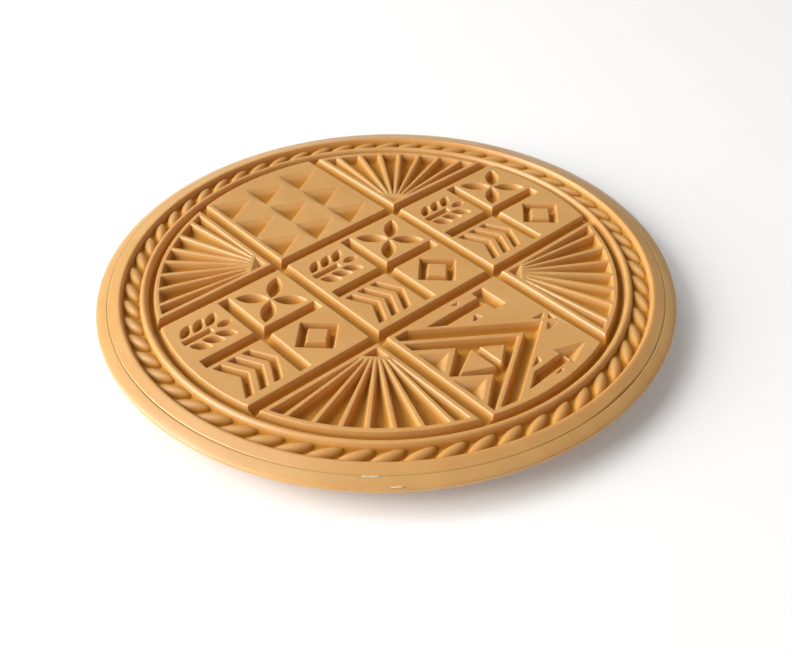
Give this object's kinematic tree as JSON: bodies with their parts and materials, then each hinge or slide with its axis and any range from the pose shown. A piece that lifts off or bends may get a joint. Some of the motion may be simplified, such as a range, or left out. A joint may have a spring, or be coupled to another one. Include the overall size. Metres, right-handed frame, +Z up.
{
  "type": "altar-bread seal",
  "caption": "Round carved altar-bread (prosphora) seal in honey-coloured plastic: cross of panels, four ray fans, rope border and domed rim, lying face up.",
  "frame": {"origin": "centre of the resting face, at the bottom of the seal", "axes": "+Z up, out of the carved face. +X from the middle panel to the arm with the hill, reed and lance. +Y along the upright column of panels, the way the points of the triangular pits point"},
  "size_m": [0.1592, 0.1592, 0.01],
  "materials": {
    "carved_plastic": "moulded honey plastic with a low sheen, darker and redder in the cuts",
    "shell_plastic": "moulded honey plastic, smooth with a low sheen",
    "cement": "set solvent cement"
  },
  "bodies": {
    "root": {"face_plate": "carved_plastic", "back_shell": "shell_plastic", "seam_cement": "cement"}
  },
  "joints": []
}
